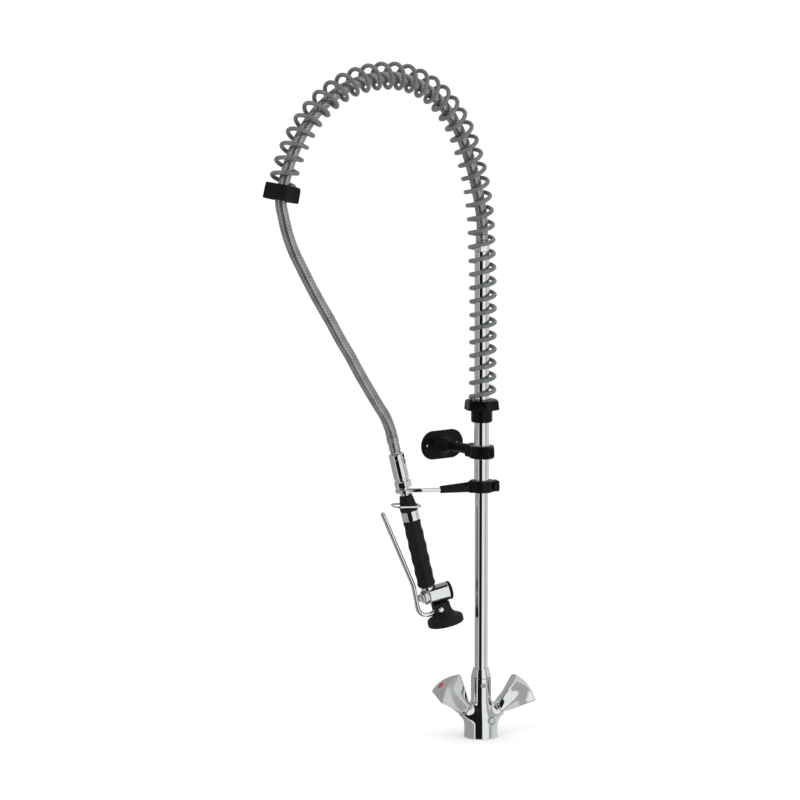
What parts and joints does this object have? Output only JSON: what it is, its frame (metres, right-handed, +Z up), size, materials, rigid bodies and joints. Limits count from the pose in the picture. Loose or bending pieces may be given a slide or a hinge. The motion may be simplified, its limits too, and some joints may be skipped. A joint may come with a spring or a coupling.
{
  "type": "pre-rinse faucet",
  "caption": "Deck-mounted pre-rinse faucet: two-knob mixer, tall riser with wall bracket, spring-arched hose and a hooked squeeze-lever sprayer.",
  "frame": {"origin": "middle of the mixer's underside, where it stands on the deck", "axes": "+Z up along the riser, +X towards the cold knob, -Y towards the user"},
  "size_m": [0.4763, 0.2743, 1.1026],
  "materials": {
    "chrome": "polished chrome plate",
    "satin_steel": "satin stainless steel",
    "black_steel": "blackened steel",
    "brass": "machined brass",
    "black_plastic": "fine moulded black plastic",
    "black_rubber": "matte black rubber",
    "grey_coat": "grey plastic-coated spring wire",
    "grey_braid": "grey braided hose cover",
    "red_plastic": "glossy red plastic",
    "blue_plastic": "glossy blue plastic"
  },
  "bodies": {
    "mixer": {"mixer_body": "chrome", "base_seal": "black_rubber", "column_nut": "chrome", "neck_set_screw": "satin_steel", "chain_eye": "chrome", "hot_headwork": "chrome", "cold_headwork": "chrome", "hot_seat_washer": "black_rubber", "cold_seat_washer": "black_rubber"},
    "hot_handle": {"hot_spindle": "brass", "hot_knob": "chrome", "hot_knob_screw": "satin_steel", "hot_index": "red_plastic"},
    "cold_handle": {"cold_spindle": "brass", "cold_knob": "chrome", "cold_knob_screw": "satin_steel", "cold_index": "blue_plastic"},
    "column": {"riser_spigot": "satin_steel", "spigot_o_ring": "black_rubber", "riser_lower": "chrome", "riser_upper": "chrome", "hose_top_nut": "chrome", "hose_top_ferrule": "satin_steel", "hose": "grey_braid", "spring": "grey_coat", "spring_collar": "black_plastic", "collar_set_screw": "satin_steel", "spring_nut": "black_plastic", "end_collar": "black_plastic"},
    "bracket_slider": {"bracket_bush": "satin_steel"},
    "bracket": {"wall_bracket": "black_plastic", "bracket_screw": "black_steel"},
    "hook": {"hook_clamp": "black_plastic", "hook_clamp_screw": "black_steel", "hook_rod": "chrome", "hose_ferrule": "satin_steel", "hose_end_nut": "satin_steel", "swivel_sleeve": "chrome"},
    "sprayer": {"inlet_tail": "chrome", "swivel_o_ring": "black_rubber", "upper_grip": "black_rubber", "grip_band": "chrome", "handle_tube": "satin_steel", "handle_grip": "black_rubber", "valve_body": "chrome", "valve_cap": "black_plastic", "valve_bonnet": "chrome", "plunger_spring": "satin_steel", "spray_head": "black_rubber", "spray_face": "black_plastic", "face_screw": "satin_steel", "lever_pivot_screw": "chrome"},
    "lever_arm": {"lever": "chrome"},
    "plunger_set": {"plunger": "chrome", "valve_washer": "black_rubber"},
    "hold_ring": {"lock_ring": "chrome"}
  },
  "joints": [
    {"name": "hot_knob_turn", "type": "hinge", "parent": "mixer", "child": "hot_handle", "pos_m": [0, 0, 0.018], "axis": [-0.6984, -0.1106, 0.7071], "range_deg": [0, 540]},
    {"name": "cold_knob_turn", "type": "hinge", "parent": "mixer", "child": "cold_handle", "pos_m": [0, 0, 0.018], "axis": [0.6984, -0.1106, 0.7071], "range_deg": [0, 540]},
    {"name": "column_swivel", "type": "hinge", "parent": "mixer", "child": "column", "pos_m": [0, 0, 0.08], "axis": [0, 0, 1], "range_deg": [-90, 90]},
    {"name": "bracket_slide", "type": "slide", "parent": "column", "child": "bracket_slider", "axis": [0, 0, 1], "range_m": [-0.03, 0.035]},
    {"name": "bracket_swing", "type": "hinge", "parent": "bracket_slider", "child": "bracket", "pos_m": [0, 0, 0.468], "axis": [0, 0, 1], "range_deg": [-60, 20]},
    {"name": "hook_swivel", "type": "hinge", "parent": "column", "child": "hook", "pos_m": [0, 0, 0.412], "axis": [0, 0, 1], "range_deg": [-20, 20], "deforming": ["hose"]},
    {"name": "sprayer_spin", "type": "hinge", "parent": "hook", "child": "sprayer", "pos_m": [-0.1283, 0, 0.41], "axis": [-0.23, 0, 0.9732], "continuous": true},
    {"name": "lever_squeeze", "type": "hinge", "parent": "sprayer", "child": "lever_arm", "pos_m": [-0.07067, 0, 0.214], "axis": [0, 1, 0], "range_deg": [0, 4], "stiffness_Nm_per_rad": 6, "springref_deg": -11.46},
    {"name": "plunger_travel", "type": "slide", "parent": "sprayer", "child": "plunger_set", "axis": [0.9732, 0, 0.23], "range_m": [0, 0.0018], "deforming": ["plunger_spring"]},
    {"name": "ring_swing", "type": "hinge", "parent": "sprayer", "child": "hold_ring", "pos_m": [-0.10379, 0, 0.38456], "axis": [0, 1, 0], "range_deg": [-30, 4]}
  ],
  "couplings": [
    {"joint": "plunger_travel", "follows": "lever_squeeze", "m_per_rad": 0.025}
  ]
}
